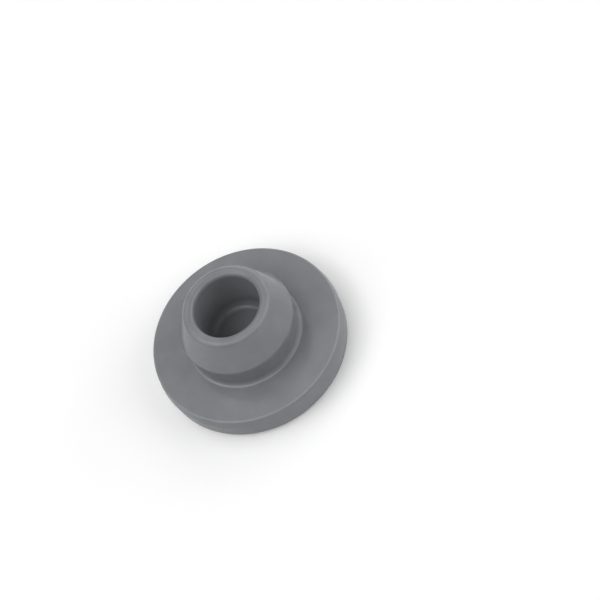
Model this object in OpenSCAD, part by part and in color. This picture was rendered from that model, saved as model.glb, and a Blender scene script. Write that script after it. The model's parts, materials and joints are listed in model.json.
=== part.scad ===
// Moulded rubber stopper for a small glass vial.
// It stands on its round flange, with the plug pointing up along +Z.
// The origin is on the axis, level with the faces of the two raised arcs.

/* [Flange] */
// Diameter of the flange at its widest, on the mould's parting line
flange_d = 12.5; // [11.5:0.1:14]
// Thickness of the flange, from the rim of its outer face to its sealing face
flange_h = 2.0; // [1.6:0.05:3]
// Distance of the parting line from the sealing face
parting_drop = 0.65; // [0.3:0.05:1]
// How far the wall draws in between the parting line and the sealing face
edge_draw = 0.085; // [0:0.005:0.2]
// How far the wall draws in between the parting line and the shoulder
shoulder_draw = 0.1; // [0:0.005:0.2]
// Radius of the rounded shoulder beside the outer face
shoulder_round = 0.26; // [0.1:0.02:0.5]
// Radius of the edge beside the sealing face
edge_round = 0.08; // [0.03:0.01:0.2]

/* [Outer face] */
// Distance of the raised rim's edge from the flange's widest diameter
rim_inset = 0.42; // [0.3:0.02:1]
// Height of the rim over the shoulder beside it
rim_step = 0.1; // [0.1:0.01:0.25]
// Width of the flat crest of the rim
crest_w = 0.12; // [0.08:0.01:0.3]
// Radius of the rim's edge and of the corner at its foot
rim_round = 0.04; // [0.02:0.01:0.04]
// Depth of the shallow dish inside the rim
dish_depth = 0.04; // [0.01:0.01:0.1]
// Width of the slope between the dish and the rim's crest
dish_slope_w = 0.45; // [0.2:0.05:0.8]

/* [Raised arcs] */
// Diameter of the circle along the middle of the two raised arcs
arc_d = 4.86; // [3.5:0.02:7]
// Width of each raised arc at its foot
arc_w = 0.4; // [0.3:0.05:0.8]
// Height of the arcs over the rim
arc_h = 0.15; // [0.05:0.01:0.3]
// Angle that each arc covers, between the middles of its round ends
arc_sweep = 136; // [90:1:160]
// How far each side of an arc draws in between the dish and the arc's face
arc_draft = 0.03; // [0:0.01:0.05]
// Bevel round the face of an arc
arc_bevel = 0.03; // [0.01:0.01:0.04]

/* [Plug] */
// Diameter of the plug's widest part, the band that seals in the vial's mouth
plug_d = 7.45; // [6.8:0.05:8.5]
// Height of the plug over the sealing face
plug_h = 3.97; // [3.2:0.01:5.5]
// Height of the band's upper edge over the sealing face, where the lead-in cone starts
band_top = 1.9; // [1.3:0.05:2.6]
// Height of the straight band
band_h = 0.15; // [0.1:0.01:0.4]
// Radius of the edge between the band and the cone
band_edge_round = 0.12; // [0.05:0.01:0.3]
// Radius of the edge under the band
band_foot_round = 0.2; // [0.05:0.05:0.3]
// How far the neck under the band is drawn in from it
neck_relief = 0.205; // [0.05:0.005:0.3]
// Height of the straight neck, up to where it starts to widen towards the band
neck_h = 0.9; // [0.7:0.05:1.3]
// Radius of the bend where the neck starts to widen
neck_bend_round = 0.5; // [0.2:0.05:0.8]
// Radius of the fillet between the neck and the flange
neck_fillet = 0.32; // [0.1:0.02:0.5]
// Width of the lip round the well, where the cone reaches its top
lip_w = 0.65; // [0.35:0.01:0.8]
// Radius of the lip's outer edge
lip_round_out = 0.43; // [0.1:0.01:0.5]
// Radius of the lip's inner edge
lip_round_in = 0.37; // [0.05:0.01:0.45]

/* [Needle well] */
// Diameter of the blind well in the plug
well_d = 4.28; // [3.6:0.02:5]
// Height of the well's floor over the level of the sealing face
well_floor = 0.15; // [0.1:0.05:1]
// Radius of the fillet round the well's floor
well_fillet = 0.5; // [0.1:0.05:0.8]

/* [Hidden] */
// Facets in a full turn of the axis, and in a full circle of a rounding
$fn = 128;
round_fn = 48;
rubber_colour = "#7f8286";
// Levels from the faces of the arcs upwards
rim_z = arc_h;
dish_z = rim_z + dish_depth;
shoulder_z = rim_z + rim_step;
seal_z = rim_z + flange_h;
parting_z = seal_z - parting_drop;
neck_top_z = seal_z + neck_h;
band_foot_z = seal_z + band_top - band_h;
band_top_z = seal_z + band_top;
plug_top_z = seal_z + plug_h;
well_floor_z = seal_z + well_floor;
// Radii from the axis outwards
flange_r = flange_d / 2;
shoulder_r = flange_r - shoulder_draw;
rim_r = flange_r - rim_inset;
crest_r = rim_r - crest_w;
band_r = plug_d / 2;
neck_r = band_r - neck_relief;
well_r = well_d / 2;
lip_r = well_r + lip_w;
arc_r = arc_d / 2;
// The arcs are rooted in the flange by half its thickness
arc_root = flange_h / 2;
// Roundings that share a narrow wall stay within it
shoulder_fit = min(shoulder_round, 0.95 * (shoulder_r - rim_r - rim_round));
lip_in_fit = min(lip_round_in, 0.6 * lip_w);
cone_slope = atan((band_r - lip_r) / (plug_h - band_top));
lip_out_fit = min(lip_round_out, 0.98 * (lip_w - lip_in_fit) * tan(45 + cone_slope / 2));

// The section from the axis round the outside and back into the well,
// as [radius, height, rounding of that corner]
section = [
    [0, dish_z, 0],
    [crest_r - dish_slope_w, dish_z, 0],
    [crest_r, rim_z, 0],
    [rim_r, rim_z, rim_round],
    [rim_r, shoulder_z, rim_round],
    [shoulder_r, shoulder_z, shoulder_fit],
    [flange_r, parting_z, 0],
    [flange_r - edge_draw, seal_z, edge_round],
    [neck_r, seal_z, neck_fillet],
    [neck_r, neck_top_z, neck_bend_round],
    [band_r, band_foot_z, band_foot_round],
    [band_r, band_top_z, band_edge_round],
    [lip_r, plug_top_z, lip_out_fit],
    [well_r, plug_top_z, lip_in_fit],
    [well_r, well_floor_z, well_fillet],
    [0, well_floor_z, 0],
];

// Half of a raised arc's cross-section, from its middle outwards, with the drafted
// side carried on past the dish to its root
arc_side_r = arc_w / 2 - arc_draft;
arc_half = [
    [0, 0],
    [arc_side_r - arc_bevel, 0],
    [arc_side_r, arc_bevel],
    [arc_side_r + arc_draft * (arc_root - arc_bevel) / (dish_z - arc_bevel), arc_root],
    [0, arc_root],
];

function flat(p) = [p[0], p[1]];
function unit(v) = v / norm(v);
function turn(a, b) = a[0] * b[1] - a[1] * b[0];
function before(p, i) = flat(p[(i + len(p) - 1) % len(p)]);
function after(p, i) = flat(p[(i + 1) % len(p)]);
// Directions from corner i to its two neighbours, and half the angle between them
function back_dir(p, i) = unit(before(p, i) - flat(p[i]));
function ahead_dir(p, i) = unit(after(p, i) - flat(p[i]));
function half_angle(p, i) = acos(back_dir(p, i) * ahead_dir(p, i)) / 2;
// Where a corner's rounding meets its two straight sides, and its centre
function tangent_run(p, i) = p[i][2] / tan(half_angle(p, i));
function round_start(p, i) = flat(p[i]) + back_dir(p, i) * tangent_run(p, i);
function round_end(p, i) = flat(p[i]) + ahead_dir(p, i) * tangent_run(p, i);
function round_centre(p, i) =
    flat(p[i]) + unit(back_dir(p, i) + ahead_dir(p, i)) * p[i][2] / sin(half_angle(p, i));
function is_outer(p, i) = turn(back_dir(p, i), ahead_dir(p, i)) < 0;

// The slice of the rounding's circle that faces corner i
module sector(p, i) {
    c = round_centre(p, i);
    translate(c)
        intersection() {
            circle(r = p[i][2], $fn = round_fn);
            polygon(2 * [[0, 0], round_start(p, i) - c, flat(p[i]) - c, round_end(p, i) - c]);
        }
}

// A closed outline, given anticlockwise, with each corner rounded by its own true arc
module rounded_outline(p) {
    corners = [for (i = [0:len(p) - 1]) if (p[i][2] > 0) i];
    difference() {
        union() {
            polygon([
                for (i = [0:len(p) - 1])
                    each p[i][2] > 0 ? [round_start(p, i), round_end(p, i)] : [flat(p[i])]
            ]);
            for (i = corners) if (is_outer(p, i)) sector(p, i);
        }
        for (i = corners) if (!is_outer(p, i)) sector(p, i);
    }
}

// One raised arc on the outer face, with round ends, centred on +X
module raised_arc() {
    rotate([0, 0, -arc_sweep / 2])
        rotate_extrude(angle = arc_sweep)
            translate([arc_r, 0]) {
                polygon(arc_half);
                mirror([1, 0]) polygon(arc_half);
            }
    for (end = [-1, 1])
        rotate([0, 0, end * arc_sweep / 2])
            translate([arc_r, 0, 0])
                rotate([0, 0, end > 0 ? 0 : 180])
                    rotate_extrude(angle = 180, $fn = round_fn) polygon(arc_half);
}

// The whole stopper is one moulding
module stopper() {
    color(rubber_colour) {
        rotate_extrude() rounded_outline(section);
        for (side = [0, 180]) rotate([0, 0, side]) raised_arc();
    }
}

stopper();
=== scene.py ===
import json
import math

import bpy
import numpy as np
from mathutils import Matrix, Vector, noise


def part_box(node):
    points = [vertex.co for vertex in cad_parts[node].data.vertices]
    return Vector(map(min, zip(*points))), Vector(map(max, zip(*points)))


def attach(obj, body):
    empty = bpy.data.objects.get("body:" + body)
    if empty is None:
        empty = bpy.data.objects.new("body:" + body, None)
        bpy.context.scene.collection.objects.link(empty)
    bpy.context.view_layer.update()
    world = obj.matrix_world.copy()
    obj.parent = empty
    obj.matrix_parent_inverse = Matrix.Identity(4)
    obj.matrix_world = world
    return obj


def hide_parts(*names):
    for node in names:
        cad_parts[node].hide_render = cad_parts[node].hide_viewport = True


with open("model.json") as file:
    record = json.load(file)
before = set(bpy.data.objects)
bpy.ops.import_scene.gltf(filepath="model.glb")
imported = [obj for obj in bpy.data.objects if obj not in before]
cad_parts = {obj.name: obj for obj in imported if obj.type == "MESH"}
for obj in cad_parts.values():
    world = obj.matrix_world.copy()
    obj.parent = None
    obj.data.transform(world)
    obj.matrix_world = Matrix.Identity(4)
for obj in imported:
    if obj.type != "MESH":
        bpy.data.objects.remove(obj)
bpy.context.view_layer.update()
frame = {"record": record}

# ---------------------------------------------------------------- camera
# A long lens looks down on the stopper from well above its flange, so that
# the plug points up and to the left of the picture.
picture_px = 600
sensor_mm = 36.0
lens_mm = 236.6
camera_distance = 0.24723
camera_elevation = math.radians(56.04)
camera_roll = math.radians(34.94)
# Where the middle of the sealing face appears in the picture
aim_px = (245.56, 334.18)

mounts = {mount["name"]: mount for mount in frame["record"]["mounts"]}
seal_z = mounts["seal_face"]["pos_m"][2]
seal_middle = Vector((0, 0, seal_z))

scene = bpy.context.scene
camera_data = bpy.data.cameras.new("camera")
camera_data.lens = lens_mm
camera_data.sensor_width = sensor_mm
camera_data.clip_start = 0.01
camera_data.clip_end = 100.0
camera = bpy.data.objects.new("camera", camera_data)
scene.collection.objects.link(camera)

towards_camera = Vector((0, -math.cos(camera_elevation), math.sin(camera_elevation)))
facing = towards_camera.to_track_quat("Z", "Y").to_matrix()
rolled = facing @ Matrix.Rotation(-camera_roll, 3, "Z")
px_per_radian = picture_px * lens_mm / sensor_mm
aim_ray = Vector((
    (aim_px[0] - picture_px / 2) / px_per_radian,
    (picture_px / 2 - aim_px[1]) / px_per_radian,
    -1,
))
swing = Vector((0, 0, -1)).rotation_difference(aim_ray).to_matrix()
aimed = rolled @ swing.inverted()
camera_place = seal_middle + towards_camera * camera_distance
camera.matrix_world = Matrix.Translation(camera_place) @ aimed.to_4x4()
scene.camera = camera

# ---------------------------------------------------------------- stopper
# The stopper is one moulding of grey halobutyl rubber, pressed in a hot
# steel mould whose halves meet at the flange's widest line, then trimmed,
# washed and left with a thin film of silicone oil.
MM = 0.001
flange_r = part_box("stopper")[1].x
plug_top_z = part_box("stopper")[1].z
band_r = mounts["plug"]["dims"]["r_mm"] * MM
well_r = mounts["needle_well"]["dims"]["r_mm"] * MM

# Levels over the faces of the raised arcs
rim_z = 0.15 * MM
dish_z = rim_z + 0.04 * MM
shoulder_z = rim_z + 0.1 * MM
parting_z = seal_z - 0.65 * MM
band_top_z = seal_z + 1.9 * MM
band_foot_z = band_top_z - 0.15 * MM
neck_top_z = seal_z + 0.9 * MM
well_floor_z = seal_z + 0.15 * MM
# Radii of the half section's corners
rim_r = flange_r - 0.42 * MM
crest_r = rim_r - 0.12 * MM
dish_r = crest_r - 0.45 * MM
shoulder_r = flange_r - 0.1 * MM
seal_edge_r = flange_r - 0.085 * MM
neck_r = band_r - 0.205 * MM
lip_r = well_r + 0.65 * MM
# The mould's halves leave a hair of flash where they meet, on the widest line
flash_h = 0.03 * MM
flash_root_r = flange_r - 0.008 * MM
# Roundings of the half section's corners
dish_bend = 0.5 * MM
rim_round = 0.04 * MM
shoulder_round = 0.26 * MM
flash_root_round = 0.012 * MM
flash_tip_round = 0.005 * MM
seal_edge_round = 0.12 * MM
neck_fillet = 0.32 * MM
neck_bend = 0.5 * MM
band_foot_round = 0.2 * MM
band_edge_round = 0.12 * MM
lip_round_out = 0.425 * MM
lip_round_in = 0.37 * MM
well_fillet = 0.5 * MM

# The half section from the outer face round to the well's floor, as the
# (radius, height, rounding) of each corner
corners = [
    (dish_r, dish_z, dish_bend),
    (crest_r, rim_z, rim_round),
    (rim_r, rim_z, rim_round),
    (rim_r, shoulder_z, rim_round),
    (shoulder_r, shoulder_z, shoulder_round),
    (flash_root_r, parting_z - flash_h / 2, flash_root_round),
    (flange_r, parting_z, flash_tip_round),
    (flash_root_r, parting_z + flash_h / 2, flash_root_round),
    (seal_edge_r, seal_z, seal_edge_round),
    (neck_r, seal_z, neck_fillet),
    (neck_r, neck_top_z, neck_bend),
    (band_r, band_foot_z, band_foot_round),
    (band_r, band_top_z, band_edge_round),
    (lip_r, plug_top_z, lip_round_out),
    (well_r, plug_top_z, lip_round_in),
    (well_r, well_floor_z, well_fillet),
]
arc_step = math.radians(9)
point_spacing = 0.15 * MM
# On a straight stretch, the first and last points lie this close to its ends
end_margin = 0.02 * MM


def rounded(before, corner, after):
    """Points of the arc that rounds a corner between its two neighbours."""
    point, rounding = Vector(corner[:2]), corner[2]
    back = (Vector(before[:2]) - point).normalized()
    ahead = (Vector(after[:2]) - point).normalized()
    half_angle = back.angle(ahead) / 2
    steps = max(3, math.ceil((math.pi - 2 * half_angle) / arc_step))
    run = rounding / math.tan(half_angle)
    centre = point + (back + ahead).normalized() * rounding / math.sin(half_angle)
    start = point + back * run - centre
    sweep = (point + ahead * run - centre).angle_signed(start)
    return [centre + Matrix.Rotation(sweep * step / steps, 2) @ start for step in range(steps + 1)]


def straight(start, end):
    """Evenly spaced points between two ends, or none where the ends nearly meet."""
    length = (end - start).length
    if length < 3 * end_margin:
        return []
    inside = length - 2 * end_margin
    gaps = max(1, round(inside / point_spacing))
    return [start.lerp(end, (end_margin + inside * gap / gaps) / length) for gap in range(gaps + 1)]


def walls(first, size, count):
    """The faces between closed loops of one size, which follow each other from a vertex on."""
    between = []
    for low in range(first, first + (count - 1) * size, size):
        high = low + size
        for here in range(size):
            beside = (here + 1) % size
            between.append((low + here, low + beside, high + beside, high + here))
    return between


dish_middle = Vector((0, dish_z))
floor_middle = Vector((0, well_floor_z))
route = [dish_middle] + corners + [floor_middle]
outline = [dish_middle]
for before, corner, after in zip(route, corners, route[2:]):
    bend = rounded(before, corner, after)
    outline += straight(outline[-1], bend[0]) + bend
outline += straight(outline[-1], floor_middle)

# The half section turns once round the axis. A fan of faces closes it in the middle of
# the dish, and another in the middle of the well's floor.
around = 320
rings = outline[1:]
verts = [(0, 0, dish_z)]
for ring in rings:
    for step in range(around):
        angle = 2 * math.pi * step / around
        verts.append((ring.x * math.cos(angle), ring.x * math.sin(angle), ring.y))
verts.append((0, 0, well_floor_z))
faces = walls(1, around, len(rings))
last = len(verts) - 1
last_ring = last - around
for here in range(around):
    beside = (here + 1) % around
    faces.append((0, 1 + beside, 1 + here))
    faces.append((last_ring + here, last_ring + beside, last))
mesh = bpy.data.meshes.new("moulded_stopper")
mesh.from_pydata(verts, [], faces)
stopper = bpy.data.objects.new("moulded_stopper", mesh)
scene.collection.objects.link(stopper)

# Two raised arcs, opposite each other, keep stoppers from sticking together face to
# face. Each is a narrow band with drafted sides and round ends.
arc_r = mounts["rest_face"]["pos_m"][0]
arc_sweep = math.radians(136)
arc_steps = 96
cap_steps = 20
# Half section of an arc as (distance from its middle line, height): the face, the bevel
# with its edges softened, and the drafted side down to a root inside the flange
arc_half = [
    (0.13 * MM, 0),
    (0.144 * MM, 0.0015 * MM),
    (0.166 * MM, 0.022 * MM),
    (0.171 * MM, 0.036 * MM),
    (0.2 * MM, dish_z),
    (0.23 * MM, 0.35 * MM),
]


def arc_loop(offset, height, arc_middle):
    """The closed line at one distance from an arc's middle line, anticlockwise from above."""
    loop = []
    for side in (1, -1):
        end = arc_middle + side * arc_sweep / 2
        radius = arc_r + side * offset
        for step in range(arc_steps + 1):
            angle = end - side * arc_sweep * (1 - step / arc_steps)
            loop.append((radius * math.cos(angle), radius * math.sin(angle), height))
        for step in range(1, cap_steps):
            angle = end + math.pi * step / cap_steps
            loop.append((
                arc_r * math.cos(end) + side * offset * math.cos(angle),
                arc_r * math.sin(end) + side * offset * math.sin(angle),
                height,
            ))
    return loop


verts, faces = [], []
for arc_middle in (0, math.pi):
    first = len(verts)
    loops = [arc_loop(offset, height, arc_middle) for offset, height in arc_half]
    for loop in loops:
        verts += loop
    size = len(loops[0])
    faces += walls(first, size, len(loops))
    faces.append(tuple(reversed(range(first, first + size))))
    faces.append(tuple(range(len(verts) - size, len(verts))))
arc_mesh = bpy.data.meshes.new("raised_arcs")
arc_mesh.from_pydata(verts, [], faces)
arcs = bpy.data.objects.new("raised_arcs", arc_mesh)
scene.collection.objects.link(arcs)
joined = stopper.modifiers.new("arcs", "BOOLEAN")
joined.operation = "UNION"
joined.solver = "EXACT"
joined.object = arcs
one_shape = stopper.evaluated_get(bpy.context.evaluated_depsgraph_get())
mesh = bpy.data.meshes.new_from_object(one_shape)
stopper.modifiers.clear()
stopper.data = mesh
bpy.data.objects.remove(arcs)

# Warm rubber leaves the mould a little uneven. Each kind of ripple has a width, a height
# and its own place in the noise. All fade out at the faces that the stopper stands on,
# and they swell outwards by only a quarter of what they sink in.
ripples = [
    (2.6 * MM, 0.006 * MM, Vector((0, 0, 0))),
    (0.9 * MM, 0.002 * MM, Vector((7, 3, 5))),
]
fade_h = 0.02 * MM
outward_share = 0.25
count = len(mesh.vertices)
places = np.empty(count * 3)
normals = np.empty(count * 3)
mesh.vertices.foreach_get("co", places)
mesh.vertex_normals.foreach_get("vector", normals)
places, normals = places.reshape(-1, 3), normals.reshape(-1, 3)
swell = np.array([
    sum(height * noise.noise(Vector(place) / width + start) for width, height, start in ripples)
    for place in places
])
swell = np.where(swell > 0, swell * outward_share, swell)
swell *= np.clip(places[:, 2] / fade_h, 0, 1)
places += normals * swell[:, None]
mesh.vertices.foreach_set("co", places.ravel())
mesh.update()
mesh.shade_smooth()
mesh.set_sharp_from_angle(angle=math.radians(40))


def linear(hex_colour):
    """An sRGB hex colour as the linear colour that the shaders take."""
    parts = [int(hex_colour[i:i + 2], 16) / 255 for i in (1, 3, 5)]
    return [p / 12.92 if p <= 0.04045 else ((p + 0.055) / 1.055) ** 2.4 for p in parts] + [1.0]


def add_node(tree, kind, settings, inputs):
    """Adds a node with its settings. Each input, by name or number, is set or linked."""
    node = tree.nodes.new(kind)
    for name, value in settings.items():
        setattr(node, name, value)
    for name, value in inputs.items():
        if isinstance(value, bpy.types.NodeSocket):
            tree.links.new(value, node.inputs[name])
        else:
            node.inputs[name].default_value = value
    return node


# Halobutyl rubber filled with clay and a little carbon black, moulded against polished
# steel: a plain grey body that is faintly cloudy where the filler isn't quite even.
# The film of oil on it gives the soft highlights.
rubber = bpy.data.materials.new("halobutyl_rubber")
rubber.use_nodes = True
tree = rubber.node_tree
tree.nodes.clear()
coords = add_node(tree, "ShaderNodeTexCoord", {}, {})
in_mm = add_node(tree, "ShaderNodeVectorMath", {"operation": "SCALE"}, {
    0: coords.outputs["Object"], "Scale": 1 / MM,
}).outputs[0]

# Clouds of filler are about 2 mm across
cloud_mm = 2.0
clouds = add_node(tree, "ShaderNodeTexNoise", {}, {
    "Vector": in_mm, "Scale": 1 / cloud_mm, "Detail": 4.0, "Roughness": 0.55,
}).outputs["Fac"]
filled = add_node(tree, "ShaderNodeMapRange", {}, {
    "Value": clouds, "From Min": 0.3, "From Max": 0.7,
})
tone = add_node(tree, "ShaderNodeMixRGB", {}, {
    "Fac": filled.outputs[0], "Color1": linear("#787a7d"), "Color2": linear("#818386"),
})

# Now and then a grain of filler lies bare on the skin as a pale speck. It is in the
# middle of a cell of the pattern, in one cell of fourteen.
speck_cell_mm = 0.55
cells = add_node(tree, "ShaderNodeTexVoronoi", {"feature": "F1"}, {
    "Vector": in_mm, "Scale": 1 / speck_cell_mm, "Randomness": 1.0,
})
near = add_node(tree, "ShaderNodeMapRange", {}, {
    "Value": cells.outputs["Distance"],
    "From Min": 0.05, "From Max": 0.075, "To Min": 0.35, "To Max": 0.0,
})
draw = add_node(tree, "ShaderNodeSeparateColor", {}, {"Color": cells.outputs["Color"]})
chosen = add_node(tree, "ShaderNodeMath", {"operation": "GREATER_THAN"}, {
    0: draw.outputs[0], 1: 0.93,
})
speck = add_node(tree, "ShaderNodeMath", {"operation": "MULTIPLY"}, {
    0: near.outputs[0], 1: chosen.outputs[0],
})
speckled = add_node(tree, "ShaderNodeMixRGB", {}, {
    "Fac": speck.outputs[0], "Color1": tone.outputs[0], "Color2": linear("#a9abac"),
})

# Painted highlights: thin pale rings painted into the colour where highlight lines fall, strongest
# along the sealing face's edge and in the corner at the neck's foot, weaker on the two edges of the
# lip. Each
#  is a ring round the axis, as (radius, height, reach, strength), in mm.
painted_highlight_rings = [
    (seal_edge_r / MM - 0.035, seal_z / MM - 0.035, 0.1, 0.8),
    (lip_r / MM - 0.06, plug_top_z / MM - 0.06, 0.16, 0.45),
    (well_r / MM + 0.1, plug_top_z / MM - 0.1, 0.14, 0.4),
    (neck_r / MM + 0.185, seal_z / MM + 0.03, 0.08, 0.8),
]
flat = add_node(tree, "ShaderNodeVectorMath", {"operation": "MULTIPLY"}, {0: in_mm, 1: (1, 1, 0)})
radius = add_node(tree, "ShaderNodeVectorMath", {"operation": "LENGTH"}, {0: flat.outputs[0]})
level = add_node(tree, "ShaderNodeSeparateXYZ", {}, {"Vector": in_mm})
in_section = add_node(tree, "ShaderNodeCombineXYZ", {}, {
    "X": radius.outputs["Value"], "Y": level.outputs["Z"],
})
painted_highlight_sum = 0.0
for ring_r, ring_z, reach, strength in painted_highlight_rings:
    gap = add_node(tree, "ShaderNodeVectorMath", {"operation": "DISTANCE"}, {
        0: in_section.outputs[0], 1: (ring_r, ring_z, 0),
    })
    painted_highlight_ring = add_node(tree, "ShaderNodeMapRange", {"interpolation_type": "SMOOTHSTEP"}, {
        "Value": gap.outputs["Value"],
        "From Min": 0.03, "From Max": reach, "To Min": strength, "To Max": 0.0,
    })
    painted_highlight_sum = add_node(tree, "ShaderNodeMath", {"operation": "MAXIMUM"}, {
        0: painted_highlight_sum, 1: painted_highlight_ring.outputs[0],
    }).outputs[0]
# The painted highlight rings are weaker where the clouds of filler are dark
patchy = add_node(tree, "ShaderNodeMapRange", {}, {
    "Value": clouds, "From Min": 0.3, "From Max": 0.6, "To Min": 0.55, "To Max": 1.0,
})
patchy_painted_highlights = add_node(tree, "ShaderNodeMath", {"operation": "MULTIPLY"}, {
    0: painted_highlight_sum, 1: patchy.outputs[0],
})
# The painted highlight rings lift the colour towards a paler grey
colour = add_node(tree, "ShaderNodeMixRGB", {}, {
    "Fac": patchy_painted_highlights.outputs[0], "Color1": speckled.outputs[0], "Color2": linear("#94969a"),
})

# The film of silicone oil lies unevenly, in pools of 0.7 mm
pool_mm = 0.7
pools = add_node(tree, "ShaderNodeTexNoise", {}, {
    "Vector": in_mm, "Scale": 1 / pool_mm, "Detail": 3.0, "Roughness": 0.6,
})
film = add_node(tree, "ShaderNodeMapRange", {}, {
    "Value": pools.outputs["Fac"],
    "From Min": 0.3, "From Max": 0.7, "To Min": 0.42, "To Max": 0.66,
})

# The mould was turned on a lathe, so its tool marks are rings round the axis. The wave
# texture repeats every pi / 10 at a scale of 1. The filler's grains roughen the skin.
# Marks and grains are drawn several times as coarse as they are, so that they show.
tool_mark_mm = 0.069
grain_mm = 0.12
mark_depth = 0.0012 * MM
wave = {"wave_type": "RINGS", "rings_direction": "Z", "wave_profile": "SIN"}
marks = add_node(tree, "ShaderNodeTexWave", wave, {
    "Vector": in_mm, "Scale": math.pi / 10 / tool_mark_mm, "Distortion": 0.6, "Detail": 1.0,
})
marked = add_node(tree, "ShaderNodeBump", {}, {
    "Height": marks.outputs["Fac"], "Strength": 0.2, "Distance": mark_depth,
})
grains = add_node(tree, "ShaderNodeTexNoise", {}, {
    "Vector": in_mm, "Scale": 1 / grain_mm, "Detail": 2.0, "Roughness": 0.6,
})
grained = add_node(tree, "ShaderNodeBump", {}, {
    "Height": grains.outputs["Fac"], "Normal": marked.outputs[0],
    "Strength": 0.6, "Distance": mark_depth,
})
skin = add_node(tree, "ShaderNodeBsdfPrincipled", {}, {
    "Base Color": colour.outputs[0], "Roughness": 0.6,
    "IOR": 1.52, "Specular IOR Level": 0.0,
    "Coat Weight": film.outputs[0], "Coat Roughness": 0.14, "Coat IOR": 1.52,
    "Normal": grained.outputs[0], "Coat Normal": grained.outputs[0],
})
add_node(tree, "ShaderNodeOutputMaterial", {}, {"Surface": skin.outputs[0]})
mesh.materials.append(rubber)

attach(stopper, "root")
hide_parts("stopper")

# ---------------------------------------------------------------- floor
# A sheet of white paper lies under the stopper. The camera and the reflections
# also see a little glow in it, so that it stays white and still takes the shadow.
paper_size = 30.0
paper_glow = 0.1
edge = paper_size / 2
paper_corners = [(-edge, -edge, 0), (edge, -edge, 0), (edge, edge, 0), (-edge, edge, 0)]
floor_mesh = bpy.data.meshes.new("floor")
floor_mesh.from_pydata(paper_corners, [], [(0, 1, 2, 3)])
floor = bpy.data.objects.new("floor", floor_mesh)
scene.collection.objects.link(floor)
paper = bpy.data.materials.new("white_paper")
paper.use_nodes = True
tree = paper.node_tree
tree.nodes.clear()
sheet = add_node(tree, "ShaderNodeBsdfDiffuse", {}, {"Color": linear("#f8f8f8")})
light_path = add_node(tree, "ShaderNodeLightPath", {}, {})
seen = 0.0
for ray in ("Is Camera Ray", "Is Glossy Ray", "Is Transmission Ray"):
    seen = add_node(tree, "ShaderNodeMath", {"operation": "MAXIMUM"}, {
        0: seen, 1: light_path.outputs[ray],
    }).outputs[0]
share = add_node(tree, "ShaderNodeMath", {"operation": "MULTIPLY"}, {0: seen, 1: paper_glow})
glow = add_node(tree, "ShaderNodeEmission", {}, {"Strength": share.outputs[0]})
both = add_node(tree, "ShaderNodeAddShader", {}, {0: sheet.outputs[0], 1: glow.outputs[0]})
add_node(tree, "ShaderNodeOutputMaterial", {}, {"Surface": both.outputs[0]})
floor_mesh.materials.append(paper)

# ---------------------------------------------------------------- light
# Six softboxes stand round the table in a dim room: broad ones behind and on the
# right, smaller ones at the left and the front left, and a small one low at the side.
room_level = 0.04
lamp_distance = 0.4
world = bpy.data.worlds.new("studio")
scene.world = world
world.use_nodes = True
room = world.node_tree.nodes["Background"]
room.inputs["Color"].default_value = (1, 1, 1, 1)
room.inputs["Strength"].default_value = room_level


def softbox(name, azimuth, elevation, width, height, level):
    """A lamp that faces the stopper. Its place, width and height are angles in degrees. Its
    level is the light it throws there, as a share of what a plain white sky gives."""
    azimuth, elevation = math.radians(azimuth), math.radians(elevation)
    towards = Vector((
        math.sin(azimuth) * math.cos(elevation),
        -math.cos(azimuth) * math.cos(elevation),
        math.sin(elevation),
    ))
    data = bpy.data.lights.new(name, "AREA")
    data.shape = "RECTANGLE"
    data.size = 2 * lamp_distance * math.tan(math.radians(width) / 2)
    data.size_y = 2 * lamp_distance * math.tan(math.radians(height) / 2)
    data.energy = level * math.pi ** 2 * lamp_distance ** 2
    lamp = bpy.data.objects.new(name, data)
    scene.collection.objects.link(lamp)
    turned = towards.to_track_quat("Z", "Y").to_matrix().to_4x4()
    lamp.matrix_world = Matrix.Translation(seal_middle + towards * lamp_distance) @ turned


softbox("back_softbox", 215, 62, 50, 50, 0.38)
softbox("back_right_softbox", 140, 22, 50, 50, 0.30)
softbox("left_softbox", 275, 46, 40, 40, 0.36)
softbox("front_left_softbox", 335, 52, 40, 40, 0.24)
softbox("right_softbox", 56, 32, 50, 42, 0.41)
softbox("side_softbox", 95, 15, 30, 25, 0.19)

scene.view_settings.view_transform = "Standard"
